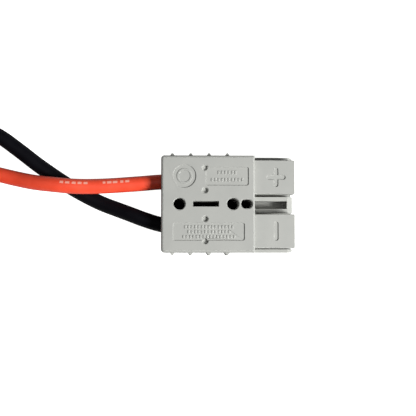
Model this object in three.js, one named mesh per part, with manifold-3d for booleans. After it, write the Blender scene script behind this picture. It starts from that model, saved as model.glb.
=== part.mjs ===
// A two-pole power connector that mates with its own kind, with its two leads and their ring terminals.
// Millimetres. +Z is up, away from the surface that it lies on. +X is the way it mates and +Y its positive side.
// The origin is on that surface, under the middle of the housing.

import * as THREE from 'three';
import { mergeVertices } from 'three/addons/utils/BufferGeometryUtils.js';
import Module from 'manifold-3d';

const wasm = await Module();
wasm.setup();

// Clearance between pieces that touch on the real object.
const GAP = 0.3;

// Housing: outside.
const LENGTH = 47.8;
const WIDTH = 34.6;
const HEIGHT = 16;
const MID_Z = HEIGHT / 2;
const BODY_LENGTH = 33.4;
const CORNER_RADIUS = 1.2;
const EDGE_RADIUS = 0.8;
const FRONT_CHAMFER = 0.6;
const REAR_X = -LENGTH / 2;
const FRONT_X = LENGTH / 2;
const SHOULDER_X = REAR_X + BODY_LENGTH;

// Housing: tongues, which enter the mating housing, and the tray below them, which takes its tongues.
const TONGUE_INNER_Y = 3.6;
const TONGUE_OUTER_Y = 15.75;
const TONGUE_TOP_Z = 14.3;
const TONGUE_BOTTOM_Z = 8.5;
const TONGUE_EDGE = 0.15;
const TONGUE_CORNER = 0.35;
const TONGUE_ROOT = 5;
const TRAY_FLOOR_Z = 1.6;
const TRAY_WALL_Y = 16.05;
const FIN_OUTER_Y = 2.95;
const FIN_SLOT_Y = 1.4;
const FIN_FRONT_X = 21.7;
const LEAD_IN = 1.9;

// Housing: the two channels that hold the contacts.
const POLE_Y = 8.8;
const BORE_RADIUS = 4.5;
const BORE_FRONT_X = -4.8;
const BORE_CHAMFER = 0.5;
const CHANNEL_WIDTH = 8.6;
const CHANNEL_REAR_X = -8;
const CHANNEL_FLOOR_Z = 7;
const CHANNEL_ROOF_Z = 12.8;
const NOSE_WALL_X = 22.3;
const NOSE_WALL_BOTTOM_Z = 9.6;

// Housing: holes along the middle line.
const HOLE_X = -17.42;
const HOLE_SPACING = 19.05;
const HOLE_RADIUS = 2.05;
const SLOT_X = -7.95;
const SLOT_SIZE = [9.2, 1.95];
const OVAL_X = 6.55;
const OVAL_SIZE = [4, 3.2];
const OPENING_EDGE = 0.25;

// Housing: marks, dimples and grip ribs.
const RELIEF_DEPTH = 0.35;
const BAR_HEIGHT = 0.2;
const SIGN_X = 17.2;
const SIGN_Y = 9.6;
const SIGN_LENGTH = 6.8;
const SIGN_WIDTH = 1.55;
const DISC_CENTRE = [-15.6, 9.9];
const DISC_RADIUS = 4.15;
const UPPER_PANEL = { x: [-8.0, 7.25], y: [6.6, 13.1], rows: [[11.2, 6], [8.6, 10]], middle: -0.4 };
const LOWER_PANEL = { x: [-19.65, 5.8], y: [-13, -6.75], rows: [[-8.2, 15], [-9.95, 13], [-11.7, 16]], middle: -6.9 };
const UNDER_PANEL = { x: [-19.65, 5.8], y: [6.75, 13], rows: [], middle: 0 };
const BAR_SIZE = [0.62, 1.15];
const BAR_PITCH = 1.2;
const DIMPLE_X = -8.25;
const DIMPLE_Y = [12.8, 4.85, -5.35, -13.2];
const DIMPLE_RADIUS = 0.85;
const DIMPLE_RIM_RADIUS = 1.25;
const DIMPLE_DEPTH = 1.1;
const RIB_X = -19.9;
const RIB_PITCH = 6.55;
const RIB_COUNT = 4;
const RIB_PROUD = 1;
const RIB_BASE = 1.7;
const RIB_TIP = 0.4;
const RIB_Z = [2, 14];

// Contacts and what they hold.
const BLADE_WIDTH = 8;
const BLADE_THICKNESS = 2;
const BLADE_BOTTOM_Z = 7.7;
const BLADE_TOP_Z = BLADE_BOTTOM_Z + BLADE_THICKNESS;
const BLADE_REAR_X = -6.6;
const HOOK_START_X = 18.6;
const HOOK_FRONT_X = 22;
const HOOK_TOP_Z = 11.2;
const BARREL_RADIUS = 3.5;
const BARREL_BORE_RADIUS = 2.2;
const BARREL_REAR_X = -18.6;
const BARREL_FRONT_X = -9;
const BARREL_BORE_FRONT_X = -10.4;
const CONDUCTOR_RADIUS = 1.9;
const SPRING_WIDTH = 6.4;
const SPRING_THICKNESS = 0.5;
const SPRING_X = [-6.2, 19.6];
const SPRING_END_Z = 12.2;
const SPRING_BELLY_Z = 10.35;

// Leads. Each route is the middle line of the lead, from its end in the housing to where its hank starts.
const LEAD_RADIUS = 2.75;
const LEAD_SIDES = 10;
const JACKET_X = -19.2;
const ROUTES = {
  positive: [
    [JACKET_X, 8.3, 8], [-24, 8.3, 8], [-32.7, 7.6, 8], [-44.2, 6.8, 8.3], [-52, 6.6, 8.6], [-57.6, 6.8, 8.8],
    [-63, 7.3, 8.45], [-70, 8.2, 6.8], [-77, 9.7, 4.7], [-84, 11.4, 3.6], [-91, 12.8, 3.4], [-97.9, 13.2, 3.55],
  ],
  negative: [
    [JACKET_X, -7.6, 8], [-24, -7.1, 8], [-30, -5.3, 7.6], [-35, -3.4, 6.4], [-40, -1.5, 4.8], [-45.2, 0.5, 3.4],
    [-51, 3.3, 2.9], [-58, 7.3, 2.8], [-68.7, 14.6, 2.8], [-76, 20.2, 2.85], [-83, 25.2, 3], [-87, 27, 3.2],
    [-91.5, 27.6, 3.4], [-97.9, 27.5, 3.55],
  ],
};

// Hanks. Each lead's spare length is folded into one long turn, and its last run lies inside its first one.
// A hank is laid out with its first run coming in along its +Y side, towards -X. Its origin is the middle of the
// turn's near end.
const HANK_X = -98.2;
const HANK_Y = { positive: -0.3, negative: 41 };
const HANK_TURN = { positive: 1, negative: -1 };
const HANK_RUN = { positive: 54.6, negative: 50.5 };
const HANK_Z = [0.8, 6.3];
const FOLD_RADIUS = 13.5;
const STRAND_PITCH = 5.8;
const NEAR_FOLD_RADIUS = FOLD_RADIUS - STRAND_PITCH / 2;
const LAST_RUN = 18;
const LAST_RUN_Y = FOLD_RADIUS - STRAND_PITCH;
const TIE_INSIDE = [12.4, 6.1];
const TIE_THICKNESS = 0.5;
const TIE_CORNER = 1.1;
const TIE_WIDTH = 6;

// Lead ends and ring terminals. The last run bends in towards the middle of the hank.
const END_Z = 3.6;
const END_BEND_RADIUS = 14;
const END_BEND_TURN = THREE.MathUtils.degToRad(20);
const END_STRAIGHT = 10.2;
const LUG_BARREL_RADIUS = 2.8;
const LUG_BARREL_BORE_RADIUS = 1.75;
const LUG_BARREL_LENGTH = 7;
const LUG_REACH = 19;
const LUG_RING_RADIUS = 6;
const LUG_HOLE_RADIUS = 3.2;
const LUG_THICKNESS = 1;
const LUG_CONDUCTOR_RADIUS = 1.4;
const SLEEVE_RADII = [3.1, 3.55];
const SLEEVE_ON_JACKET = 9;
const SLEEVE_ON_BARREL = 6;

const POLES = [
  { name: 'positive', side: 1, colour: 0xeb5236 },
  { name: 'negative', side: -1, colour: 0x0c0b10 },
];

const group = new THREE.Group();

function material(color, roughness, metalness) {
  return new THREE.MeshStandardMaterial({ color, roughness, metalness });
}

const PLASTIC = material(0xb3b4af, 0.6, 0);
const SILVER = material(0xd0d0cc, 0.3, 1);
const STEEL = material(0xa8a8a8, 0.25, 1);
const COPPER = material(0xb87348, 0.4, 1);
const TIN = material(0xc4c4c2, 0.35, 1);
const STRAP = material(0x202022, 0.95, 0);

// Turns a closed geometry into a solid that can be joined and cut.
function solid(geometry) {
  const bare = geometry.index ? geometry.toNonIndexed() : geometry;
  bare.deleteAttribute('normal');
  bare.deleteAttribute('uv');
  const merged = mergeVertices(bare, 1e-4);
  const corners = merged.index.array;
  const triangles = [];
  for (let i = 0; i < corners.length; i += 3) {
    const [a, b, c] = corners.slice(i, i + 3);
    if (a !== b && b !== c && c !== a) triangles.push(a, b, c);
  }
  return new wasm.Manifold(new wasm.Mesh({
    numProp: 3,
    vertProperties: merged.attributes.position.array,
    triVerts: new Uint32Array(triangles),
  }));
}

// Adds a finished solid to the group as a named mesh.
function addMesh(name, piece, look) {
  const { vertProperties, triVerts } = piece.getMesh();
  const geometry = new THREE.BufferGeometry();
  geometry.setAttribute('position', new THREE.BufferAttribute(vertProperties, 3));
  geometry.setIndex(new THREE.BufferAttribute(triVerts, 1));
  geometry.computeVertexNormals();
  const mesh = new THREE.Mesh(geometry, look);
  mesh.name = name;
  group.add(mesh);
}

function block([x0, x1], [y0, y1], [z0, z1]) {
  const geometry = new THREE.BoxGeometry(x1 - x0, y1 - y0, z1 - z0);
  return solid(geometry.translate((x0 + x1) / 2, (y0 + y1) / 2, (z0 + z1) / 2));
}

// A rectangle about the origin with round corners.
function roundedRectangle(width, height, radius) {
  const [w, h] = [width / 2, height / 2];
  const shape = new THREE.Shape();
  shape.absarc(w - radius, h - radius, radius, 0, Math.PI / 2);
  shape.absarc(-w + radius, h - radius, radius, Math.PI / 2, Math.PI);
  shape.absarc(-w + radius, -h + radius, radius, Math.PI, 1.5 * Math.PI);
  shape.absarc(w - radius, -h + radius, radius, 1.5 * Math.PI, 2 * Math.PI);
  return shape;
}

// An outline in X and Y carried up from z0 to z1.
function prism(shape, [z0, z1], curveSegments = 6) {
  const options = { depth: z1 - z0, bevelEnabled: false, curveSegments };
  return solid(new THREE.ExtrudeGeometry(shape, options).translate(0, 0, z0));
}

// The same, with its top and bottom edges rounded inside the outline.
function roundedPrism(shape, [z0, z1], radius, bevelSegments = 3, curveSegments = 4) {
  const options = {
    depth: z1 - z0 - 2 * radius,
    bevelThickness: radius,
    bevelSize: radius,
    bevelOffset: -radius,
    bevelSegments,
    curveSegments,
  };
  return solid(new THREE.ExtrudeGeometry(shape, options).translate(0, 0, z0 + radius));
}

// An outline in X and Z carried across from y0 to y1.
function crossPrism(points, [y0, y1]) {
  const shape = new THREE.Shape(points.map(([x, z]) => new THREE.Vector2(x, z)));
  const geometry = new THREE.ExtrudeGeometry(shape, { depth: y1 - y0, bevelEnabled: false });
  return solid(geometry.rotateX(Math.PI / 2).translate(0, y1, 0));
}

// A cylinder or cone that stands on z0, with its axis along Z.
function post([x, y], [z0, z1], bottomRadius, topRadius = bottomRadius, sides = 24) {
  const geometry = new THREE.CylinderGeometry(topRadius, bottomRadius, z1 - z0, sides);
  return solid(geometry.rotateX(Math.PI / 2).translate(x, y, (z0 + z1) / 2));
}

// A cylinder or cone from x0 to x1, with its axis along X.
function rod([x0, x1], y, z, rearRadius, frontRadius = rearRadius, sides = 24) {
  const geometry = new THREE.CylinderGeometry(frontRadius, rearRadius, x1 - x0, sides);
  return solid(geometry.rotateZ(-Math.PI / 2).translate((x0 + x1) / 2, y, z));
}

// ---- Housing: one moulding of polycarbonate ----

// The tray and the body behind it, before anything is cut.
function housingBlank() {
  const full = roundedPrism(roundedRectangle(LENGTH, WIDTH, CORNER_RADIUS), [0, HEIGHT], EDGE_RADIUS);
  const aboveTray = block([SHOULDER_X, FRONT_X + 1], [-WIDTH, WIDTH], [MID_Z, HEIGHT + 1]);
  return full.subtract(aboveTray).add(gripRibs());
}

function gripRibs() {
  let ribs = null;
  for (const side of [-1, 1]) {
    const base = side * (WIDTH / 2 - EDGE_RADIUS);
    const foot = side * WIDTH / 2;
    const tip = side * (WIDTH / 2 + RIB_PROUD);
    for (let i = 0; i < RIB_COUNT; i += 1) {
      const x = RIB_X + i * RIB_PITCH;
      const outline = [
        [x - RIB_BASE / 2, base], [x - RIB_BASE / 2, foot], [x - RIB_TIP / 2, tip],
        [x + RIB_TIP / 2, tip], [x + RIB_BASE / 2, foot], [x + RIB_BASE / 2, base],
      ];
      if (side > 0) outline.reverse();
      const shape = new THREE.Shape(outline.map(([px, py]) => new THREE.Vector2(px, py)));
      const rib = prism(shape, RIB_Z);
      ribs = ribs ? ribs.add(rib) : rib;
    }
  }
  return ribs;
}

// The long chamfers across the front edge of the body and of the tray.
function frontChamfers() {
  const across = [-WIDTH, WIDTH];
  const body = crossPrism([
    [SHOULDER_X - FRONT_CHAMFER, HEIGHT + 0.01], [SHOULDER_X + 0.01, HEIGHT - FRONT_CHAMFER],
    [SHOULDER_X + 1, HEIGHT - FRONT_CHAMFER], [SHOULDER_X + 1, HEIGHT + 1], [SHOULDER_X - FRONT_CHAMFER, HEIGHT + 1],
  ], across);
  const tray = crossPrism([
    [FRONT_X - LEAD_IN, MID_Z], [FRONT_X, MID_Z - LEAD_IN], [FRONT_X + 1, MID_Z - LEAD_IN],
    [FRONT_X + 1, MID_Z + 1], [FRONT_X - LEAD_IN, MID_Z + 1],
  ], across);
  return body.add(tray);
}

// The two pockets of the tray, which the other housing's tongues enter, and the slot in the fin between them.
function trayPockets() {
  const slot = block([SHOULDER_X, FIN_FRONT_X], [-FIN_SLOT_Y, FIN_SLOT_Y], [TRAY_FLOOR_Z, MID_Z + 1]);
  const pockets = POLES.map(({ side }) => {
    const across = [side * FIN_OUTER_Y, side * TRAY_WALL_Y].sort((a, b) => a - b);
    return block([SHOULDER_X, FRONT_X + 1], across, [TRAY_FLOOR_Z, MID_Z + 1]);
  });
  return pockets.reduce((all, pocket) => all.add(pocket), slot);
}

function tongue(side) {
  const width = TONGUE_OUTER_Y - TONGUE_INNER_Y;
  const reach = FRONT_X - SHOULDER_X + TONGUE_ROOT;
  const shape = roundedRectangle(reach, width, TONGUE_CORNER);
  const middle = side * (TONGUE_INNER_Y + TONGUE_OUTER_Y) / 2;
  return roundedPrism(shape, [TONGUE_BOTTOM_Z, TONGUE_TOP_Z], TONGUE_EDGE, 1, 2)
    .translate([FRONT_X - reach / 2, middle, 0]);
}

// The way of one contact through the housing: the round bore for its barrel and the flat channel for its blade.
function contactWay(side) {
  const y = side * POLE_Y;
  const across = [y - CHANNEL_WIDTH / 2, y + CHANNEL_WIDTH / 2];
  const bore = rod([REAR_X - 1, BORE_FRONT_X], y, MID_Z, BORE_RADIUS, BORE_RADIUS, 32);
  const mouth = rod([REAR_X - 0.01, REAR_X + BORE_CHAMFER], y, MID_Z, BORE_RADIUS + BORE_CHAMFER, BORE_RADIUS, 32);
  const channel = block([CHANNEL_REAR_X, NOSE_WALL_X], across, [CHANNEL_FLOOR_Z, CHANNEL_ROOF_Z]);
  const nose = block([NOSE_WALL_X - 1, FRONT_X + 1], across, [CHANNEL_FLOOR_Z, NOSE_WALL_BOTTOM_Z]);
  return bore.add(mouth).add(channel).add(nose);
}

// A hole right through the body, from an outline, with its edges broken at both faces.
function throughHole(x, [length, width]) {
  const radius = width / 2 - 0.01;
  const place = (piece) => piece.translate([x, 0, 0]);
  const rim = (grow, z) => prism(roundedRectangle(length + grow, width + grow, radius + grow / 2), z);
  const wall = place(rim(0, [-1, HEIGHT + 1]));
  const top = place(rim(2 * OPENING_EDGE, [HEIGHT - OPENING_EDGE, HEIGHT + 1]));
  const bottom = place(rim(2 * OPENING_EDGE, [-1, OPENING_EDGE]));
  return wall.add(top).add(bottom);
}

function middleHoles() {
  const [slotLength, slotWidth] = SLOT_SIZE;
  const slot = block([SLOT_X - slotLength / 2, SLOT_X + slotLength / 2], [-slotWidth / 2, slotWidth / 2], [-1, HEIGHT + 1]);
  const round = [2 * HOLE_RADIUS, 2 * HOLE_RADIUS];
  return slot
    .add(throughHole(HOLE_X, round))
    .add(throughHole(HOLE_X + HOLE_SPACING, round))
    .add(throughHole(OVAL_X, OVAL_SIZE));
}

// A shallow panel sunk into the top face, with rows of plain raised bars in it.
function sunkPanel({ x: [x0, x1], y: [y0, y1], rows, middle }) {
  const shape = roundedRectangle(x1 - x0, y1 - y0, 0.7);
  const floor = HEIGHT - RELIEF_DEPTH;
  let panel = prism(shape, [floor, HEIGHT + 1], 3).translate([(x0 + x1) / 2, (y0 + y1) / 2, 0]);
  const [barWidth, barLength] = BAR_SIZE;
  for (const [y, count] of rows) {
    for (let i = 0; i < count; i += 1) {
      const x = middle + (i - (count - 1) / 2) * BAR_PITCH;
      const across = [y - barLength / 2, y + barLength / 2];
      panel = panel.subtract(block([x - barWidth / 2, x + barWidth / 2], across, [floor - 0.1, floor + BAR_HEIGHT]));
    }
  }
  return panel;
}

// The sunk round seat, with a plain raised ring in it.
function sunkDisc() {
  const floor = HEIGHT - RELIEF_DEPTH;
  const ring = post(DISC_CENTRE, [floor - 0.1, floor + BAR_HEIGHT], DISC_RADIUS * 0.66)
    .subtract(post(DISC_CENTRE, [floor - 0.2, floor + 1], DISC_RADIUS * 0.5));
  return post(DISC_CENTRE, [floor, HEIGHT + 1], DISC_RADIUS, DISC_RADIUS, 36).subtract(ring);
}

// The sunk plus and minus on the tongues.
function polaritySigns() {
  const depth = [TONGUE_TOP_Z - RELIEF_DEPTH, TONGUE_TOP_Z + 1];
  const radius = SIGN_WIDTH / 2 - 0.01;
  const along = prism(roundedRectangle(SIGN_LENGTH, SIGN_WIDTH, radius), depth, 4);
  const across = prism(roundedRectangle(SIGN_WIDTH, SIGN_LENGTH, radius), depth, 4);
  const plus = along.add(across).translate([SIGN_X, SIGN_Y, 0]);
  return plus.add(across.translate([SIGN_X, -SIGN_Y, 0]));
}

function dimples() {
  const cuts = [];
  const rimDepth = DIMPLE_RIM_RADIUS - DIMPLE_RADIUS;
  for (const y of DIMPLE_Y) {
    const place = [DIMPLE_X, y];
    cuts.push(post(place, [HEIGHT - DIMPLE_DEPTH, HEIGHT + 1], DIMPLE_RADIUS, DIMPLE_RADIUS, 16));
    cuts.push(post(place, [HEIGHT - rimDepth, HEIGHT + 0.01], DIMPLE_RADIUS, DIMPLE_RIM_RADIUS, 16));
  }
  return cuts.reduce((all, cut) => all.add(cut));
}

function housing() {
  let piece = housingBlank().subtract(trayPockets());
  for (const { side } of POLES) piece = piece.add(tongue(side));
  for (const { side } of POLES) piece = piece.subtract(contactWay(side));
  const underPanel = sunkPanel(UNDER_PANEL).translate([0, 0, -HEIGHT]).scale([1, 1, -1]);
  for (const cut of [frontChamfers(), middleHoles(), sunkDisc(), polaritySigns(), dimples()]) {
    piece = piece.subtract(cut);
  }
  return piece.subtract(sunkPanel(UPPER_PANEL)).subtract(sunkPanel(LOWER_PANEL)).subtract(underPanel);
}

// ---- Contacts: silver-plated copper, each with its crimped wire and its leaf spring ----

// A flat blade with a hooked nose, and behind it a round barrel that is crimped on the wire.
function contact(side) {
  const hookCurve = new THREE.QuadraticBezierCurve(
    new THREE.Vector2(HOOK_START_X, BLADE_BOTTOM_Z),
    new THREE.Vector2(HOOK_FRONT_X, BLADE_BOTTOM_Z),
    new THREE.Vector2(HOOK_FRONT_X, BLADE_TOP_Z + 0.6),
  );
  const blade = crossPrism([
    [BLADE_REAR_X, BLADE_BOTTOM_Z],
    ...hookCurve.getPoints(6).map(({ x, y }) => [x, y]),
    [HOOK_FRONT_X, HOOK_TOP_Z],
    [HOOK_FRONT_X - 1.6, HOOK_TOP_Z],
    [HOOK_FRONT_X - 1.6, BLADE_TOP_Z],
    [BLADE_REAR_X, BLADE_TOP_Z],
  ], [-BLADE_WIDTH / 2, BLADE_WIDTH / 2]);
  const shoulder = BARREL_RADIUS * 0.8;
  const neck = crossPrism([
    [BARREL_FRONT_X - 1, MID_Z - shoulder], [BARREL_FRONT_X, MID_Z - shoulder],
    [BLADE_REAR_X + 2.2, BLADE_BOTTOM_Z], [BLADE_REAR_X + 2.2, BLADE_TOP_Z],
    [BARREL_FRONT_X, MID_Z + shoulder], [BARREL_FRONT_X - 1, MID_Z + shoulder],
  ], [-BLADE_WIDTH * 0.36, BLADE_WIDTH * 0.36]);
  const barrel = rod([BARREL_REAR_X, BARREL_FRONT_X], 0, MID_Z, BARREL_RADIUS);
  const hole = rod([BARREL_REAR_X - 1, BARREL_BORE_FRONT_X], 0, MID_Z, BARREL_BORE_RADIUS);
  return barrel.add(neck).subtract(hole).add(blade).translate([0, side * POLE_Y, 0]);
}

// A bowed strip: its ends bear on the channel's roof and its belly on the blade.
function leafSpring(side) {
  const [x0, x1] = SPRING_X;
  const steps = 14;
  const lower = [];
  for (let i = 0; i <= steps; i += 1) {
    const t = i / steps;
    const sag = Math.sin(Math.PI * t) ** 2;
    lower.push([x0 + t * (x1 - x0), SPRING_END_Z - SPRING_THICKNESS / 2 - (SPRING_END_Z - SPRING_BELLY_Z) * sag]);
  }
  const upper = lower.map(([x, z]) => [x, z + SPRING_THICKNESS]).reverse();
  const y = side * POLE_Y;
  return crossPrism([...lower, ...upper], [y - SPRING_WIDTH / 2, y + SPRING_WIDTH / 2]);
}

function crimpedConductor(side) {
  return rod([JACKET_X + GAP, BARREL_BORE_FRONT_X - GAP], side * POLE_Y, MID_Z, CONDUCTOR_RADIUS, CONDUCTOR_RADIUS, 16);
}

// ---- Leads: silicone-jacketed wire, laid down to the surface and folded into hanks ----

// A round section carried along the points.
function cordTube(points, steps) {
  const section = new THREE.Shape();
  section.absarc(0, 0, LEAD_RADIUS, 0, 2 * Math.PI);
  const extrudePath = new THREE.CatmullRomCurve3(points.map((p) => new THREE.Vector3(...p)), false, 'centripetal');
  const options = { extrudePath, steps, bevelEnabled: false, curveSegments: LEAD_SIDES };
  return solid(new THREE.ExtrudeGeometry(section, options));
}

// A place in a hank's own frame, in the row frame. The negative lead's hank is laid the other way round.
function inHank(pole, x, y) {
  return [HANK_X + x, HANK_Y[pole.name] + HANK_TURN[pole.name] * y];
}

// The outer shape of the hank: one long turn, two strands wide where the last run lies beside the first.
function leadHank(pole) {
  const farX = -HANK_RUN[pole.name];
  const nearY = NEAR_FOLD_RADIUS - FOLD_RADIUS;
  const [outside, inside] = [FOLD_RADIUS + LEAD_RADIUS, FOLD_RADIUS - LEAD_RADIUS];
  const quarter = Math.PI / 2;
  const outer = new THREE.Shape();
  outer.moveTo(0, outside);
  outer.absarc(farX, 0, outside, quarter, 3 * quarter);
  outer.absarc(0, nearY, NEAR_FOLD_RADIUS + LEAD_RADIUS, -quarter, quarter);
  const inner = new THREE.Path();
  inner.moveTo(-LAST_RUN, LAST_RUN_Y - LEAD_RADIUS);
  inner.lineTo(-LAST_RUN, inside);
  inner.absarc(farX, 0, inside, quarter, 3 * quarter);
  inner.absarc(0, nearY, NEAR_FOLD_RADIUS - LEAD_RADIUS, -quarter, quarter);
  outer.holes.push(inner);
  const hank = prism(outer, HANK_Z, 16);
  const laid = HANK_TURN[pole.name] > 0 ? hank : hank.mirror([0, 1, 0]);
  return laid.translate([HANK_X, HANK_Y[pole.name], 0]);
}

// A strap round the first and last runs.
function leadTie(pole) {
  const [width, height] = TIE_INSIDE;
  const [x, y] = inHank(pole, -LAST_RUN / 2, (FOLD_RADIUS + LAST_RUN_Y) / 2);
  const band = roundedRectangle(width + 2 * TIE_THICKNESS, height + 2 * TIE_THICKNESS, TIE_CORNER);
  band.holes.push(roundedRectangle(width, height, TIE_CORNER - TIE_THICKNESS));
  const options = { depth: TIE_WIDTH, bevelEnabled: false, curveSegments: 4 };
  const geometry = new THREE.ExtrudeGeometry(band, options);
  geometry.rotateX(Math.PI / 2).rotateZ(Math.PI / 2);
  geometry.computeBoundingBox();
  const middle = geometry.boundingBox.getCenter(new THREE.Vector3());
  return solid(geometry.translate(x - middle.x, y - middle.y, height / 2 + TIE_THICKNESS - middle.z));
}

// A place on the last bend, after it has turned by this angle.
function onEndBend(pole, turned) {
  const x = -LAST_RUN - GAP - END_BEND_RADIUS * Math.sin(turned);
  const y = LAST_RUN_Y - END_BEND_RADIUS * (1 - Math.cos(turned));
  return inHank(pole, x, y);
}

// Where the lead's last bend ends, and the way that its terminal points from there.
function leadEnd(pole) {
  const heading = [-Math.cos(END_BEND_TURN), -HANK_TURN[pole.name] * Math.sin(END_BEND_TURN)];
  return { place: onEndBend(pole, END_BEND_TURN), heading };
}

// The last bend and the straight stretch that the terminal's sleeve holds.
function leadEndTube(pole) {
  const points = [];
  const steps = 3;
  for (let i = 0; i <= steps; i += 1) points.push([...onEndBend(pole, END_BEND_TURN * i / steps), END_Z]);
  const { place: [px, py], heading: [hx, hy] } = leadEnd(pole);
  for (const along of [END_STRAIGHT / 2, END_STRAIGHT]) points.push([px + hx * along, py + hy * along, END_Z]);
  return cordTube(points, 8);
}

// Places a piece made along +X from the origin at the end of the lead, on its middle line.
function atLeadEnd(pole, piece) {
  const { place: [px, py], heading: [hx, hy] } = leadEnd(pole);
  const turn = THREE.MathUtils.radToDeg(Math.atan2(hy, hx));
  const start = END_STRAIGHT + GAP;
  return piece.rotate([0, 0, turn]).translate([px + hx * start, py + hy * start, END_Z]);
}

// ---- Ring terminals: tinned copper, crimped on and covered by a shrunk sleeve ----

function ringTerminal() {
  const barrel = rod([0, LUG_BARREL_LENGTH], 0, 0, LUG_BARREL_RADIUS);
  const bore = rod([-1, LUG_BARREL_LENGTH + 1], 0, 0, LUG_BARREL_BORE_RADIUS);
  const bottom = -LUG_BARREL_RADIUS;
  const tongueZ = [bottom, bottom + LUG_THICKNESS];
  const neckStart = SLEEVE_ON_BARREL + GAP;
  const [narrow, wide] = [LUG_BARREL_RADIUS * 0.8, LUG_RING_RADIUS * 0.82];
  const neck = new THREE.Shape([
    [neckStart, -narrow], [LUG_REACH - 3, -wide], [LUG_REACH, -wide],
    [LUG_REACH, wide], [LUG_REACH - 3, wide], [neckStart, narrow],
  ].map(([x, y]) => new THREE.Vector2(x, y)));
  const ring = post([LUG_REACH, 0], tongueZ, LUG_RING_RADIUS, LUG_RING_RADIUS, 32);
  const hole = post([LUG_REACH, 0], [bottom - 1, bottom + 3], LUG_HOLE_RADIUS, LUG_HOLE_RADIUS, 32);
  return barrel.subtract(bore).add(prism(neck, tongueZ)).add(ring).subtract(hole);
}

function terminalSleeve() {
  const along = [-SLEEVE_ON_JACKET, SLEEVE_ON_BARREL];
  const [inside, outside] = SLEEVE_RADII;
  return rod(along, 0, 0, outside).subtract(rod([along[0] - 1, along[1] + 1], 0, 0, inside));
}

function terminalConductor() {
  return rod([0, LUG_BARREL_LENGTH + 0.6], 0, 0, LUG_CONDUCTOR_RADIUS, LUG_CONDUCTOR_RADIUS, 12);
}

// ---- Assembly ----

addMesh('housing', housing(), PLASTIC);
for (const pole of POLES) {
  const jacket = material(pole.colour, 0.4, 0);
  const sleeve = material(pole.colour, 0.6, 0);
  addMesh(`${pole.name}_contact`, contact(pole.side), SILVER);
  addMesh(`${pole.name}_leaf_spring`, leafSpring(pole.side), STEEL);
  addMesh(`${pole.name}_crimped_conductor`, crimpedConductor(pole.side), COPPER);
  addMesh(`${pole.name}_lead`, cordTube(ROUTES[pole.name], 22), jacket);
  addMesh(`${pole.name}_lead_hank`, leadHank(pole), jacket);
  addMesh(`${pole.name}_lead_tie`, leadTie(pole), STRAP);
  addMesh(`${pole.name}_lead_end`, leadEndTube(pole), jacket);
  addMesh(`${pole.name}_terminal_sleeve`, atLeadEnd(pole, terminalSleeve()), sleeve);
  addMesh(`${pole.name}_terminal_conductor`, atLeadEnd(pole, terminalConductor()), COPPER);
  addMesh(`${pole.name}_ring_terminal`, atLeadEnd(pole, ringTerminal()), TIN);
}

export default group;
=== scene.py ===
from math import radians

import bmesh
import bpy
import numpy as np
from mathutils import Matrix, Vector


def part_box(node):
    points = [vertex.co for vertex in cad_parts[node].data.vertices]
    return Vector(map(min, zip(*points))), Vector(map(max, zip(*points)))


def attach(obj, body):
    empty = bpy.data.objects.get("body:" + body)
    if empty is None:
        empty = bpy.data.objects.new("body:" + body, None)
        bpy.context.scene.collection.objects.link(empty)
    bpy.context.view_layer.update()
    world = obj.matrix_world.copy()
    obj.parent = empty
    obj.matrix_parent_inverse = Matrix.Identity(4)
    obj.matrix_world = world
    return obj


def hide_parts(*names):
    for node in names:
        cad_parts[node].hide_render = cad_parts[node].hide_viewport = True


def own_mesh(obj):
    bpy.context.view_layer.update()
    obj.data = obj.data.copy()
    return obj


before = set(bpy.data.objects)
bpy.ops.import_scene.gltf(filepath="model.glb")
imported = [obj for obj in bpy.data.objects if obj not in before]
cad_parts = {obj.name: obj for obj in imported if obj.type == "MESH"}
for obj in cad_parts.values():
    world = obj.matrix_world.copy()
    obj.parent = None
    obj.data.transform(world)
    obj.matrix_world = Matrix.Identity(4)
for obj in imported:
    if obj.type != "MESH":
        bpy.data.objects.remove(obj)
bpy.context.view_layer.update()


# ---- Camera, floor and lamps ----
# A long lens, a little over a third of a metre above the connector, looks almost straight down at it.
# The connector lies on a white sheet, and a large soft lamp stands off its mating side and negative pole.

camera_data = bpy.data.cameras.new("camera")
camera_data.sensor_width = 36
camera_data.lens = 85.56
camera = bpy.data.objects.new("camera", camera_data)
camera.location = (-0.02065, -0.01929, 0.366)
camera.rotation_mode = "ZYX"
camera.rotation_euler = (0.0508, -0.0382, 0.0016)
bpy.context.scene.collection.objects.link(camera)
bpy.context.scene.camera = camera


def add_node(tree, kind, settings=None, inputs=None):
    """A shader node with its settings, and with its inputs set to numbers or linked to sockets."""
    node = tree.nodes.new(kind)
    for name, value in (settings or {}).items():
        setattr(node, name, value)
    for name, value in (inputs or {}).items():
        if isinstance(value, bpy.types.NodeSocket):
            tree.links.new(value, node.inputs[name])
        else:
            node.inputs[name].default_value = value
    return node


def new_material(name, inputs):
    """A material whose one shader has these inputs: (material, node tree, shader)."""
    material = bpy.data.materials.new(name)
    material.use_nodes = True
    tree = material.node_tree
    shader = tree.nodes["Principled BSDF"]
    for key, value in inputs.items():
        shader.inputs[key].default_value = value
    return material, tree, shader


def add_object(name, vertices, faces):
    """A mesh object at the origin, linked to the scene."""
    mesh = bpy.data.meshes.new(name)
    mesh.from_pydata(np.asarray(vertices).tolist(), [], [list(face) for face in faces])
    mesh.validate()
    added = bpy.data.objects.new(name, mesh)
    bpy.context.scene.collection.objects.link(added)
    return added


def math_node(tree, operation, *values):
    """The result of one Math node on numbers or sockets."""
    return add_node(tree, "ShaderNodeMath", {"operation": operation}, dict(enumerate(values))).outputs[0]


# A patch of painted shade on the sheet under the housing: its half size, the width of its soft edge, and its
# dark tone.
painted_shade_half_length = 0.0215
painted_shade_half_width = 0.015
painted_shade_edge = 0.00125
painted_shade_tone = 0.03
glow_seen = 1.0
glow_all_round = 0.1
paper_light, paper_cloud = 0.4, 0.04
sheet_half = 1.5


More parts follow.
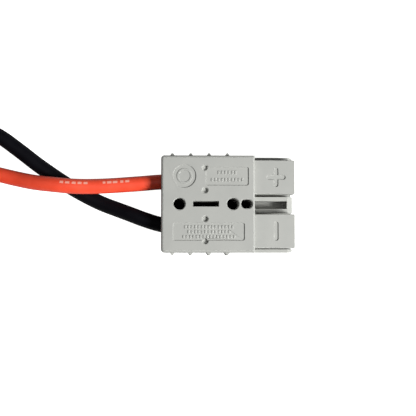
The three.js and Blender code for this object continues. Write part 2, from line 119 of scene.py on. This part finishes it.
def outside_painted_shade(tree, place):
    """1 on the open sheet and 0 on a patch of painted shade under the housing, with a narrow ramp between
    them.
    """
    parts = add_node(tree, "ShaderNodeSeparateXYZ", inputs={"Vector": place})
    off_middle = [math_node(tree, "ABSOLUTE", parts.outputs[axis]) for axis in "XY"]
    past_length = math_node(tree, "SUBTRACT", off_middle[0], painted_shade_half_length)
    past_width = math_node(tree, "SUBTRACT", off_middle[1], painted_shade_half_width)
    ramp = math_node(tree, "DIVIDE", math_node(tree, "MAXIMUM", past_length, past_width), painted_shade_edge)
    return add_node(tree, "ShaderNodeClamp", inputs={"Value": ramp}).outputs["Result"]


def white_paper():
    """Matt white paper that glows a little, and more where it is looked at, which keeps its shadows faint.
    Under the housing it is painted dark and its glow is off: a patch of painted shade.
    """
    inputs = {"Roughness": 0.9, "Emission Color": (1, 1, 0.985, 1)}
    material, tree, shader = new_material("white_sheet", inputs)
    place = add_node(tree, "ShaderNodeTexCoord").outputs["Object"]
    outside_painted_shade_mask = outside_painted_shade(tree, place)
    looked_at = add_node(tree, "ShaderNodeLightPath").outputs["Is Camera Ray"]
    glow = math_node(tree, "MULTIPLY_ADD", looked_at, glow_seen, glow_all_round)
    # The glow is turned off under the housing, inside the patch of painted shade.
    tree.links.new(math_node(tree, "MULTIPLY", outside_painted_shade_mask, glow), shader.inputs["Emission Strength"])
    cloud = add_node(tree, "ShaderNodeTexNoise", inputs={"Vector": place, "Scale": 40.0}).outputs["Fac"]
    tone = math_node(tree, "MULTIPLY_ADD", cloud, paper_cloud, paper_light)
    # Painted shade: under the housing the sheet's colour falls to the dark tone.
    shade = math_node(tree, "MAXIMUM", outside_painted_shade_mask, painted_shade_tone)
    tree.links.new(math_node(tree, "MULTIPLY", tone, shade), shader.inputs["Base Color"])
    return material


sheet_corners = [(x * sheet_half, y * sheet_half, 0) for x, y in ((-1, -1), (1, -1), (1, 1), (-1, 1))]
sheet = add_object("white_sheet", sheet_corners, [(0, 1, 2, 3)])
sheet.data.materials.append(white_paper())


def soft_lamp(name, place, aim, size, power):
    """A square area lamp at a place, turned to shine at a point."""
    lamp = bpy.data.lights.new(name, "AREA")
    lamp.size = size
    lamp.energy = power
    lamp_object = bpy.data.objects.new(name, lamp)
    lamp_object.location = place
    lamp_object.rotation_euler = (Vector(aim) - Vector(place)).to_track_quat("-Z", "Y").to_euler()
    bpy.context.scene.collection.objects.link(lamp_object)


connector_middle = (0, 0, 0.008)
soft_lamp("window", (0.62, -0.27, 0.66), connector_middle, 0.3, 15.5)
soft_lamp("ceiling", (-0.1, 0, 1.1), connector_middle, 0.9, 1.5)
world = bpy.data.worlds.new("studio")
world.use_nodes = True
world.node_tree.nodes["Background"].inputs["Color"].default_value = (0.95, 0.98, 1, 1)
world.node_tree.nodes["Background"].inputs["Strength"].default_value = 0.06
bpy.context.scene.world = world
bpy.context.scene.view_settings.view_transform = "Standard"


# ---- Leads ----
# Fine-stranded copper wire in a jacket of silicone rubber, 5.5 mm across, one red and one black.
# Each leaves its bore level and comes down to the surface, and the red one crosses over the black one.
# The spare length is folded into a flat hank: one long turn, with its last run inside its first one.

MM = 0.001
ROOT = "housing_and_leads"
lead_diameter = 5.5 * MM
jacket_start = -19.2
routes = {
    "positive": [
        (jacket_start, 8.3, 8), (-24, 8.3, 8), (-32.7, 7.6, 8), (-44.2, 6.8, 8.3), (-52, 6.6, 8.6),
        (-57.6, 6.8, 8.8), (-63, 7.3, 8.45), (-70, 8.2, 6.8), (-77, 9.7, 4.7), (-84, 11.4, 3.6),
        (-91, 12.8, 3.4), (-97.9, 13.2, 3.55),
    ],
    "negative": [
        (jacket_start, -7.6, 8), (-24, -7.1, 8), (-30, -5.3, 7.6), (-35, -3.4, 6.4), (-40, -1.5, 4.8),
        (-45.2, 0.5, 3.4), (-51, 3.3, 2.9), (-58, 7.3, 2.8), (-68.7, 14.6, 2.8), (-76, 20.2, 2.85),
        (-83, 25.2, 3), (-87, 27, 3.2), (-91.5, 27.6, 3.4), (-97.9, 27.5, 3.55),
    ],
}
hank_origins = {"positive": np.array([-98.2, -0.3]), "negative": np.array([-98.2, 41])}
hank_turns = {"positive": np.array([1, 1]), "negative": np.array([1, -1])}
hank_runs = {"positive": 54.6, "negative": 50.5}
hank_middle_height = 3.2
hank_tip = 0.35
fold_radius = 13.5
strand_pitch = 5.8
near_fold_radius = fold_radius - strand_pitch / 2
last_run = 18
last_run_y = fold_radius - strand_pitch
end_gap = 0.3
end_bend_radius = 14
end_bend_turn = radians(20)
end_bend_x = last_run + end_gap
end_height = 3.6
end_straight = 10.2
point_pitch = 4.4


def in_hank(pole, across, height):
    """Points given in a hank's own frame, in millimetres, as points of the whole object, in metres."""
    flat = hank_origins[pole] + hank_turns[pole] * across
    return np.column_stack([flat, np.broadcast_to(height, len(flat))]) * MM


def end_heading(pole):
    """The way that the end of a lead points."""
    return np.array([*(hank_turns[pole] * (-np.cos(end_bend_turn), -np.sin(end_bend_turn))), 0])


def straight_run(start_x, end_x, y):
    """Points between two ends that aren't among them, at about one pitch, along X."""
    steps = int(round(abs(end_x - start_x) / point_pitch))
    x = np.linspace(start_x, end_x, steps + 1)[1:-1]
    return np.column_stack([x, np.full(len(x), y)])


def half_turn(x, y, radius, from_angle):
    """Points round half a circle from an angle, its ends among them."""
    steps = int(round(np.pi * radius / point_pitch))
    angle = from_angle + np.linspace(0, np.pi, steps + 1)
    return np.column_stack([x + radius * np.cos(angle), y + radius * np.sin(angle)])


def lead_points(pole):
    """The route, then the hank's first run, far fold, middle run, near fold and last run, then the bend
    towards the hank's middle and the straight end. The hank tips down a little towards its middle run."""
    far_x = -hank_runs[pole]
    turn = np.vstack([
        straight_run(0, far_x, fold_radius),
        half_turn(far_x, 0, fold_radius, np.pi / 2),
        straight_run(far_x, 0, -fold_radius),
        half_turn(0, near_fold_radius - fold_radius, near_fold_radius, -np.pi / 2),
        straight_run(0, -end_bend_x, last_run_y),
    ])
    turn_height = hank_middle_height + hank_tip * turn[:, 1] / fold_radius
    turned = np.linspace(0, end_bend_turn, 3)
    bend_x = -end_bend_x - end_bend_radius * np.sin(turned)
    bend_y = last_run_y - end_bend_radius * (1 - np.cos(turned))
    bend = in_hank(pole, np.column_stack([bend_x, bend_y]), end_height)
    run = np.array(routes[pole]) * MM
    straight = bend[-1] + end_heading(pole) * np.array([[1], [2], [3]]) / 3 * end_straight * MM
    return np.vstack([run, in_hank(pole, turn, turn_height), bend, straight])


def smooth_line(points, spacing, steps=24):
    """A centripetal Catmull-Rom curve through the points, worked out at some steps between each two of them
    and then cut at even spacing along its length."""
    points = np.vstack([2 * points[0] - points[1], points, 2 * points[-1] - points[-2]])
    p0, p1, p2, p3 = points[:-3], points[1:-2], points[2:-1], points[3:]
    knot1 = np.sqrt(np.linalg.norm(p1 - p0, axis=1))[:, None, None]
    knot2 = knot1 + np.sqrt(np.linalg.norm(p2 - p1, axis=1))[:, None, None]
    knot3 = knot2 + np.sqrt(np.linalg.norm(p3 - p2, axis=1))[:, None, None]
    p0, p1, p2, p3 = (p[:, None, :] for p in (p0, p1, p2, p3))
    between = np.linspace(0, 1, steps, endpoint=False)
    t = knot1 + (knot2 - knot1) * between[None, :, None]
    a1 = p0 * (knot1 - t) / knot1 + p1 * t / knot1
    a2 = (p1 * (knot2 - t) + p2 * (t - knot1)) / (knot2 - knot1)
    a3 = (p2 * (knot3 - t) + p3 * (t - knot2)) / (knot3 - knot2)
    b1 = (a1 * (knot2 - t) + a2 * t) / knot2
    b2 = (a2 * (knot3 - t) + a3 * (t - knot1)) / (knot3 - knot1)
    curve = (b1 * (knot2 - t) + b2 * (t - knot1)) / (knot2 - knot1)
    curve = np.vstack([curve.reshape(-1, 3), points[-2]])
    along = np.concatenate([[0], np.cumsum(np.linalg.norm(np.diff(curve, axis=0), axis=1))])
    even = np.linspace(0, along[-1], int(round(along[-1] / spacing)) + 1)
    return np.column_stack([np.interp(even, along, curve[:, k]) for k in range(3)])


def tube(name, path, radius, sides=40):
    """A closed round skin along a path. At station i and angle a its point is
    path[i] + radius * (cos a * up[i] + sin a * side[i]), where side is level and square to the path, and the
    radius is one number for each station, or one for each station and side.
    The UV map holds the turn from the top, 0 to 1, and the length from the start, in metres."""
    stations = len(path)
    ahead = np.gradient(path, axis=0)
    side = np.cross(ahead, (0, 0, 1))
    side /= np.linalg.norm(side, axis=1)[:, None]
    up = np.cross(side, ahead)
    up /= np.linalg.norm(up, axis=1)[:, None]
    turn = np.arange(sides) / sides
    angle = 2 * np.pi * turn[None, :, None]
    reach = np.broadcast_to(np.asarray(radius).reshape(stations, -1, 1), (stations, sides, 1))
    skin = path[:, None, :] + reach * (np.cos(angle) * up[:, None, :] + np.sin(angle) * side[:, None, :])
    vertices = np.vstack([skin.reshape(-1, 3), path[0], path[-1]])
    i, j = np.meshgrid(np.arange(stations - 1), np.arange(sides), indexing="ij")
    this_ring, next_ring, after = i * sides, (i + 1) * sides, (j + 1) % sides
    quads = np.stack([this_ring + j, this_ring + after, next_ring + after, next_ring + j], axis=-1)
    column = np.arange(sides)
    next_column = (column + 1) % sides
    start_pole = np.full(sides, stations * sides)
    last_ring = (stations - 1) * sides
    start_cap = np.stack([start_pole, next_column, column], axis=-1)
    end_cap = np.stack([start_pole + 1, last_ring + column, last_ring + next_column], axis=-1)
    faces = [*quads.reshape(-1, 4).tolist(), *start_cap.tolist(), *end_cap.tolist()]
    skin_object = add_object(name, vertices, faces)
    along = np.concatenate([[0], np.cumsum(np.linalg.norm(np.diff(path, axis=0), axis=1))])
    turns = np.stack([turn[j], turn[j] + 1 / sides, turn[j] + 1 / sides, turn[j]], axis=-1)
    lengths = np.stack([along[i], along[i], along[i + 1], along[i + 1]], axis=-1)
    wall_uv = np.stack([turns, lengths], axis=-1).reshape(-1, 2)
    start_uv = np.tile([0.5, along[0]], (3 * sides, 1))
    end_uv = np.tile([0.5, along[-1]], (3 * sides, 1))
    layer = skin_object.data.uv_layers.new(name="turn_and_length")
    layer.data.foreach_set("uv", np.vstack([wall_uv, start_uv, end_uv]).ravel())
    skin_object.data.shade_smooth()
    skin_object.data.set_sharp_from_angle(angle=radians(50))
    return skin_object


def grain(tree, scale, detail=3.0):
    """Noise on object coordinates, from 0 to 1, with this many grains per metre."""
    place = add_node(tree, "ShaderNodeTexCoord").outputs["Object"]
    noise = add_node(tree, "ShaderNodeTexNoise", inputs={"Vector": place, "Scale": scale, "Detail": detail})
    return noise.outputs["Fac"]


def fine_bump(tree, shader, height, depth):
    """Raises the shader's surface where the height is 1, by a depth in metres."""
    bump = add_node(tree, "ShaderNodeBump", inputs={"Height": height, "Distance": depth, "Strength": 1.0})
    tree.links.new(bump.outputs["Normal"], shader.inputs["Normal"])


def colour_mix(tree, factor, at_zero, at_one):
    """A colour between two, each of which is a socket or three numbers."""
    inputs = {"Factor": factor}
    for number, colour in ((6, at_zero), (7, at_one)):
        inputs[number] = colour if isinstance(colour, bpy.types.NodeSocket) else (*colour, 1)
    return add_node(tree, "ShaderNodeMix", {"data_type": "RGBA"}, inputs).outputs[2]


def two_tone(tree, scale, light, dark):
    """A colour that drifts between two tones over the object, at this many patches per metre."""
    cloud = grain(tree, scale, 4.0)
    spread = add_node(tree, "ShaderNodeMapRange", inputs={"Value": cloud, "From Min": 0.35, "From Max": 0.65})
    return colour_mix(tree, spread.outputs["Result"], dark, light)


print_step = 2.15 * MM
print_start = 16.2 * MM
print_pitch = 150 * MM
print_flank = 0.038, 0.092
group_dashes = 5
group_steps = 7
shortest_dash = 0.45
dash_spread = 0.35


def print_mask(tree):
    """1 on plain dashes printed along the upper flank of a lead: two groups of five steps, with two steps
    between them, and then nothing up to the next print. A dash fills a part of its step that chance sets."""
    coordinates = add_node(tree, "ShaderNodeUVMap", {"uv_map": "turn_and_length"}).outputs["UV"]
    parts = add_node(tree, "ShaderNodeSeparateXYZ", inputs={"Vector": coordinates})
    turn, length = parts.outputs["X"], parts.outputs["Y"]
    from_start = math_node(tree, "SUBTRACT", length, print_start)
    in_print = math_node(tree, "FLOORED_MODULO", from_start, print_pitch)
    steps = math_node(tree, "DIVIDE", in_print, print_step)
    number = math_node(tree, "FLOOR", steps)
    number_in_group = math_node(tree, "FLOORED_MODULO", number, group_steps)
    in_group = math_node(tree, "LESS_THAN", number_in_group, group_dashes - 0.5)
    in_groups = math_node(tree, "LESS_THAN", number, group_steps + group_dashes - 0.5)
    chance = add_node(tree, "ShaderNodeTexWhiteNoise", {"noise_dimensions": "1D"}, {"W": number})
    dash_end = math_node(tree, "MULTIPLY_ADD", chance.outputs["Value"], dash_spread, shortest_dash)
    in_dash = math_node(tree, "LESS_THAN", math_node(tree, "FRACT", steps), dash_end)
    above = math_node(tree, "GREATER_THAN", turn, print_flank[0])
    below = math_node(tree, "LESS_THAN", turn, print_flank[1])
    mask = in_group
    for factor in (in_groups, in_dash, above, below):
        mask = math_node(tree, "MULTIPLY", mask, factor)
    return mask


ink = 0.85, 0.35, 0.27


def silicone(name, light, dark, roughness, specular, printed):
    """Smooth silicone rubber, a little cloudy, with or without the printed dashes."""
    material, tree, shader = new_material(name, {"Specular IOR Level": specular, "Roughness": roughness})
    colour = two_tone(tree, 180.0, light, dark)
    if printed:
        colour = colour_mix(tree, print_mask(tree), colour, ink)
    tree.links.new(colour, shader.inputs["Base Color"])
    fine_bump(tree, shader, grain(tree, 2600.0), 0.012 * MM)
    return material


red_tones = (0.84, 0.083, 0.038), (0.77, 0.066, 0.028)
black_tones = (0.0035, 0.0033, 0.005), (0.0022, 0.0022, 0.0035)
jackets = {
    "positive": silicone("red_silicone", *red_tones, roughness=0.42, specular=0.3, printed=True),
    "negative": silicone("black_silicone", *black_tones, roughness=0.55, specular=0.08, printed=False),
}
jacket_spacing = 1 * MM
cut_rim = 0.9
lead_paths = {}
for pole in ("positive", "negative"):
    path = smooth_line(lead_points(pole), jacket_spacing)
    radius = np.full(len(path), lead_diameter / 2)
    radius[[0, -1]] *= cut_rim
    lead = tube(f"{pole}_lead_jacket", path, radius)
    lead.data.materials.append(jackets[pole])
    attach(lead, ROOT)
    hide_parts(f"{pole}_lead", f"{pole}_lead_hank", f"{pole}_lead_end")
    lead_paths[pole] = path


# ---- Straps round the hanks ----
# A narrow woven hook-and-loop strap holds the hank's first and last runs side by side.
# It goes once round them and its end lies on its start.

strap_width = 6
strap_thickness = 0.5
strap_middle = (-last_run / 2, fold_radius - strand_pitch / 2)
strap_height = 3.55
strap_overlap = 0.22
strap_seat = 0.45
strap_edge_power = 0.35
strap_face_power = 0.5
weave_scale = 520.0


def face_outwards(piece):
    """Turns the faces of a closed mesh outwards."""
    shell = bmesh.new()
    shell.from_mesh(piece.data)
    bmesh.ops.recalc_face_normals(shell, faces=shell.faces)
    shell.to_mesh(piece.data)
    shell.free()


def strap(name, pole, stations=120, section_points=24):
    """A flat band with a rounded section, carried round two strands. Its line is the outline round two
    circles a strand pitch apart, and its distance from them grows by one thickness for each time round.
    Its section is a superellipse: its width is a power of the cosine and its thickness one of the sine."""
    t = np.linspace(0, 1 + strap_overlap, stations)
    half_gap = strand_pitch / 2
    reach = lead_diameter / MM / 2 + strap_thickness * (strap_seat + t)
    straight, bend = 2 * half_gap, np.pi * reach
    whole = 2 * (straight + bend)
    s = ((t + 0.5 * straight / whole) % 1) * whole
    on_top = s < straight
    first_bend = (s >= straight) & (s < straight + bend)
    underneath = (s >= straight + bend) & (s < 2 * straight + bend)
    stretches = [on_top, first_bend, underneath]
    angles = [0 * s, (s - straight) / reach, np.pi + 0 * s]
    slides = [s - half_gap, half_gap + 0 * s, straight + bend + half_gap - s]
    angle = np.select(stretches, angles, np.pi + (s - 2 * straight - bend) / reach)
    slide = np.select(stretches, slides, -half_gap)
    outward = np.column_stack([np.sin(angle), np.cos(angle)])
    line = np.column_stack([slide, 0 * slide]) + outward * reach[:, None]
    v = 2 * np.pi * np.arange(section_points) / section_points
    section_x = strap_width / 2 * np.sign(np.cos(v)) * np.abs(np.cos(v)) ** strap_edge_power
    section_z = strap_thickness / 2 * np.sign(np.sin(v)) * np.abs(np.sin(v)) ** strap_face_power
    across = line[:, None, :] + outward[:, None, :] * section_z[None, :, None]
    x0, y0 = strap_middle
    local = np.stack([np.broadcast_to(x0 + section_x, across.shape[:2]), y0 + across[..., 0]], axis=-1)
    height = strap_height + across[..., 1]
    vertices = in_hank(pole, local.reshape(-1, 2), height.ravel())
    rows, columns = across.shape[:2]
    i, j = np.meshgrid(np.arange(rows - 1), np.arange(columns), indexing="ij")
    this_row, next_row, after = i * columns, (i + 1) * columns, (j + 1) % columns
    quads = np.stack([this_row + j, next_row + j, next_row + after, this_row + after], axis=-1)
    ends = [list(range(columns)), list(range(rows * columns - 1, (rows - 1) * columns - 1, -1))]
    band = add_object(name, vertices, [*quads.reshape(-1, 4).tolist(), *ends])
    face_outwards(band)
    band.data.shade_smooth()
    band.data.set_sharp_from_angle(angle=radians(50))
    return band


def woven_strap():
    """A black weave: two crossed rib waves set the bump, and the threads' tops are a little lighter."""
    material, tree, shader = new_material("woven_strap", {"Roughness": 0.85, "Sheen Weight": 0.3})
    place = add_node(tree, "ShaderNodeTexCoord").outputs["Object"]
    inputs = {"Vector": place, "Scale": weave_scale, "Distortion": 0.6}
    ribs = [add_node(tree, "ShaderNodeTexWave", {"bands_direction": axis}, inputs) for axis in "XY"]
    weave = math_node(tree, "MULTIPLY", *[rib.outputs["Fac"] for rib in ribs])
    tone = colour_mix(tree, weave, (0.012, 0.012, 0.013), (0.05, 0.05, 0.053))
    tree.links.new(tone, shader.inputs["Base Color"])
    fine_bump(tree, shader, weave, 0.12 * MM)
    return material


strap_fabric = woven_strap()
for pole in ("positive", "negative"):
    band = strap(f"{pole}_hank_strap", pole)
    band.data.materials.append(strap_fabric)
    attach(band, ROOT)
    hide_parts(f"{pole}_lead_tie")


# ---- Bared strands ----
# Each end of a lead is stripped to its fine copper strands, which lie in a slow twist.
# One end is crimped in the contact's barrel and the other in the ring terminal's.

strand_count = 14
strand_lay = 30 * MM
crimped_radius = 1.9 * MM
terminal_radius = 1.4 * MM
terminal_length = 7.6 * MM
strand_gap = 0.3 * MM
strand_groove = 0.1


def copper_strands():
    """Bare copper, slightly uneven in tone from strand to strand."""
    material, tree, shader = new_material("copper_strands", {"Metallic": 1.0, "Roughness": 0.32})
    tree.links.new(two_tone(tree, 900.0, (0.83, 0.42, 0.24), (0.62, 0.27, 0.14)), shader.inputs["Base Color"])
    fine_bump(tree, shader, grain(tree, 5000.0), 0.02 * MM)
    return material


def strand_bundle(name, start, ahead, length, radius, stations=24, sides_each=8):
    """A round bundle whose radius dips between its outer strands: it is the radius times
    (1 - groove + groove * |cos(strands * angle / 2)|), where the angle runs on by one turn for each lay."""
    along = np.linspace(0, length, stations)[:, None]
    sides = strand_count * sides_each
    angle = 2 * np.pi * np.arange(sides)[None, :] / sides
    ridge = np.abs(np.cos(strand_count * (angle + 2 * np.pi * along / strand_lay) / 2))
    return tube(name, start + along * ahead, radius * (1 - strand_groove + strand_groove * ridge), sides)


def node_ends(node, axis):
    """The two end points of a node's middle line along an axis of the whole object."""
    low, high = (np.array(corner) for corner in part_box(node))
    middle = (low + high) / 2
    first, last = middle.copy(), middle.copy()
    first[axis], last[axis] = low[axis], high[axis]
    return first, last


copper = copper_strands()
for pole in ("positive", "negative"):
    rear, front = node_ends(f"{pole}_crimped_conductor", 0)
    crimped_length = front[0] - rear[0]
    ahead = np.array([1, 0, 0])
    strands = strand_bundle(f"{pole}_crimped_strands", rear, ahead, crimped_length, crimped_radius)
    strands.data.materials.append(copper)
    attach(strands, f"{pole}_contact_and_crimp")
    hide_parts(f"{pole}_crimped_conductor")

    heading = end_heading(pole)
    start = lead_paths[pole][-1] + heading * strand_gap
    strands = strand_bundle(f"{pole}_terminal_strands", start, heading, terminal_length, terminal_radius)
    strands.data.materials.append(copper)
    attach(strands, ROOT)
    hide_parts(f"{pole}_terminal_conductor")


# ---- Shrunk sleeves ----
# A polyolefin sleeve is shrunk over each terminal's barrel and the end of the jacket.
# It is drawn in a little where the jacket ends, and its edges are rounded.

sleeve_on_jacket = 9
sleeve_on_barrel = 6
sleeve_outer_radius = 3.3
sleeve_inner_radius = 2.8
sleeve_dip = 0.16
sleeve_dip_at = 0.1
sleeve_dip_length = 1.1
sleeve_rounding = 0.14
sleeve_rounding_length = 0.25


def turned_ring(name, profile, start, ahead, sides=48):
    """A closed profile of (distance along the axis, radius) turned once round an axis that lies level."""
    side = np.cross(ahead, (0, 0, 1))
    angle = 2 * np.pi * np.arange(sides) / sides
    out = np.cos(angle)[:, None] * np.array([0, 0, 1]) + np.sin(angle)[:, None] * side
    along, radius = profile.T
    points = start + along[:, None, None] * ahead + radius[:, None, None] * out[None, :, :]
    rows = len(profile)
    i, j = np.meshgrid(np.arange(rows), np.arange(sides), indexing="ij")
    below, after = (i + 1) % rows, (j + 1) % sides
    quads = np.stack([i * sides + j, i * sides + after, below * sides + after, below * sides + j], axis=-1)
    ring = add_object(name, points.reshape(-1, 3), quads.reshape(-1, 4).tolist())
    face_outwards(ring)
    ring.data.shade_smooth()
    ring.data.set_sharp_from_angle(angle=radians(60))
    return ring


def sleeve_profile(stations=40):
    """The outside, from the jacket to the barrel, then back along the bore. Both draw in by a bell curve at
    the jacket's end, and the outside falls off towards each edge."""
    along = np.linspace(-sleeve_on_jacket, sleeve_on_barrel, stations)
    dip = sleeve_dip * np.exp(-((along - sleeve_dip_at) / sleeve_dip_length) ** 2)
    from_edge = np.minimum(along + sleeve_on_jacket, sleeve_on_barrel - along)
    rounding = sleeve_rounding * np.exp(-from_edge / sleeve_rounding_length)
    outside = sleeve_outer_radius - dip - rounding
    inside = sleeve_inner_radius - 0.5 * dip
    return np.vstack([np.column_stack([along, outside]), np.column_stack([along, inside])[::-1]]) * MM


def shrunk_plastic(name, light, dark):
    """Satin polyolefin, left slightly uneven by the shrinking."""
    material, tree, shader = new_material(name, {"Roughness": 0.5, "Specular IOR Level": 0.4})
    tree.links.new(two_tone(tree, 300.0, light, dark), shader.inputs["Base Color"])
    fine_bump(tree, shader, grain(tree, 700.0, 6.0), 0.05 * MM)
    return material


sleeve_plastics = {
    "positive": shrunk_plastic("red_shrunk_plastic", (0.6, 0.03, 0.02), (0.5, 0.02, 0.014)),
    "negative": shrunk_plastic("black_shrunk_plastic", (0.014, 0.014, 0.015), (0.009, 0.009, 0.01)),
}
for pole in ("positive", "negative"):
    heading = end_heading(pole)
    barrel_start = lead_paths[pole][-1] + heading * strand_gap
    sleeve = turned_ring(f"{pole}_shrunk_sleeve", sleeve_profile(), barrel_start, heading)
    sleeve.data.materials.append(sleeve_plastics[pole])
    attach(sleeve, ROOT)
    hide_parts(f"{pole}_terminal_sleeve")


# ---- Ring terminals ----
# Copper strip, stamped, rolled and brazed into a barrel, then tinned, with a 6.4 mm stud hole.
# The stamped edges are slightly rounded.

level_cosine = 0.9999


def finished_copy(node, name, edge, segments=2, angle=32):
    """A node's own shape with its edges broken: its loose triangles are merged, its level faces are shaded
    flat, and a bevel of this width, in metres, is put on every edge sharper than the angle, in degrees."""
    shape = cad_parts[node].data.copy()
    shape.name = name
    shape.materials.clear()
    shell = bmesh.new()
    shell.from_mesh(shape)
    bmesh.ops.remove_doubles(shell, verts=shell.verts, dist=1e-6)
    for face in shell.faces:
        face.smooth = abs(face.normal.z) < level_cosine
    shell.to_mesh(shape)
    shell.free()
    piece = bpy.data.objects.new(name, shape)
    bpy.context.scene.collection.objects.link(piece)
    bevel = piece.modifiers.new("broken_edges", "BEVEL")
    bevel.width = edge
    bevel.segments = segments
    bevel.limit_method = "ANGLE"
    bevel.angle_limit = radians(angle)
    bevel.use_clamp_overlap = False
    bevel.loop_slide = False
    bevel.face_strength_mode = "FSTR_ALL"
    flatten = piece.modifiers.new("flat_faces_stay_flat", "WEIGHTED_NORMAL")
    flatten.weight = 100
    flatten.use_face_influence = True
    flatten.keep_sharp = True
    return piece


def roughness_between(tree, shader, factor, smoothest, roughest):
    """Sets the shader's roughness from a factor of 0 to 1."""
    inputs = {"Value": factor, "To Min": smoothest, "To Max": roughest}
    spread = add_node(tree, "ShaderNodeMapRange", inputs=inputs)
    tree.links.new(spread.outputs["Result"], shader.inputs["Roughness"])


def plated_metal(name, light, dark, roughness, scratch_scale, scratch_depth):
    """Plated metal: patches of two tones, and fine scratches as noise stretched along the object's length."""
    material, tree, shader = new_material(name, {"Metallic": 1.0})
    tree.links.new(two_tone(tree, 250.0, light, dark), shader.inputs["Base Color"])
    place = add_node(tree, "ShaderNodeTexCoord").outputs["Object"]
    stretched = add_node(tree, "ShaderNodeMapping", inputs={"Vector": place, "Scale": (0.15, 1, 1)})
    inputs = {"Vector": stretched.outputs["Vector"], "Scale": scratch_scale, "Detail": 5.0}
    scratches = add_node(tree, "ShaderNodeTexNoise", inputs=inputs).outputs["Fac"]
    roughness_between(tree, shader, scratches, roughness - 0.08, roughness + 0.12)
    fine_bump(tree, shader, scratches, scratch_depth)
    return material


tin_plate = plated_metal("tin_plate", (0.66, 0.66, 0.64), (0.54, 0.54, 0.53), 0.36, 1800.0, 0.02 * MM)
for pole in ("positive", "negative"):
    terminal = finished_copy(f"{pole}_ring_terminal", f"{pole}_tinned_terminal", 0.12 * MM)
    terminal.data.materials.append(tin_plate)
    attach(terminal, ROOT)
    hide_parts(f"{pole}_ring_terminal")
    start = lead_paths[pole][0]


# ---- Contacts ----
# Each is turned and flattened from one copper bar, with a hooked nose, then plated with silver.
# It floats in its channel, and the crimped strands move with it.

silver_plate = plated_metal("silver_plate", (0.86, 0.85, 0.81), (0.74, 0.72, 0.67), 0.26, 2400.0, 0.015 * MM)
for pole in ("positive", "negative"):
    contact = finished_copy(f"{pole}_contact", f"{pole}_silver_contact", 0.18 * MM, 3)
    contact.data.materials.append(silver_plate)
    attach(contact, f"{pole}_contact_and_crimp")
    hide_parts(f"{pole}_contact")


# ---- Leaf springs ----
# A bowed strip of stainless steel between the roof of each channel and the back of the blade.
# It flattens towards the roof as the blade lifts; the script gives it a mesh of its own but doesn't bend it.

spring_steel = plated_metal("spring_steel", (0.62, 0.62, 0.61), (0.5, 0.5, 0.5), 0.24, 3200.0, 0.01 * MM)
for pole in ("positive", "negative"):
    spring = finished_copy(f"{pole}_leaf_spring", f"{pole}_steel_spring", 0.06 * MM)
    spring.data.materials.append(spring_steel)
    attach(spring, ROOT)
    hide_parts(f"{pole}_leaf_spring")
    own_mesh(spring)


# ---- Housing ----
# One moulding of grey polycarbonate, with its signs, panels and dimples formed in the tool.
# It has no screws: the contacts are pushed in from the rear until their noses catch.


def moulded_plastic():
    """Warm light grey, clouded very slightly, with the fine spark-eroded grain of the tool."""
    material, tree, shader = new_material("grey_polycarbonate", {"Specular IOR Level": 0.42})
    grey = two_tone(tree, 110.0, (0.365, 0.369, 0.346), (0.343, 0.348, 0.327))
    tree.links.new(grey, shader.inputs["Base Color"])
    spark_grain = grain(tree, 3800.0, 4.0)
    roughness_between(tree, shader, spark_grain, 0.46, 0.6)
    fine_bump(tree, shader, spark_grain, 0.012 * MM)
    return material


housing = finished_copy("housing", "grey_housing", 0.07 * MM)
housing.data.materials.append(moulded_plastic())
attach(housing, ROOT)
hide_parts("housing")
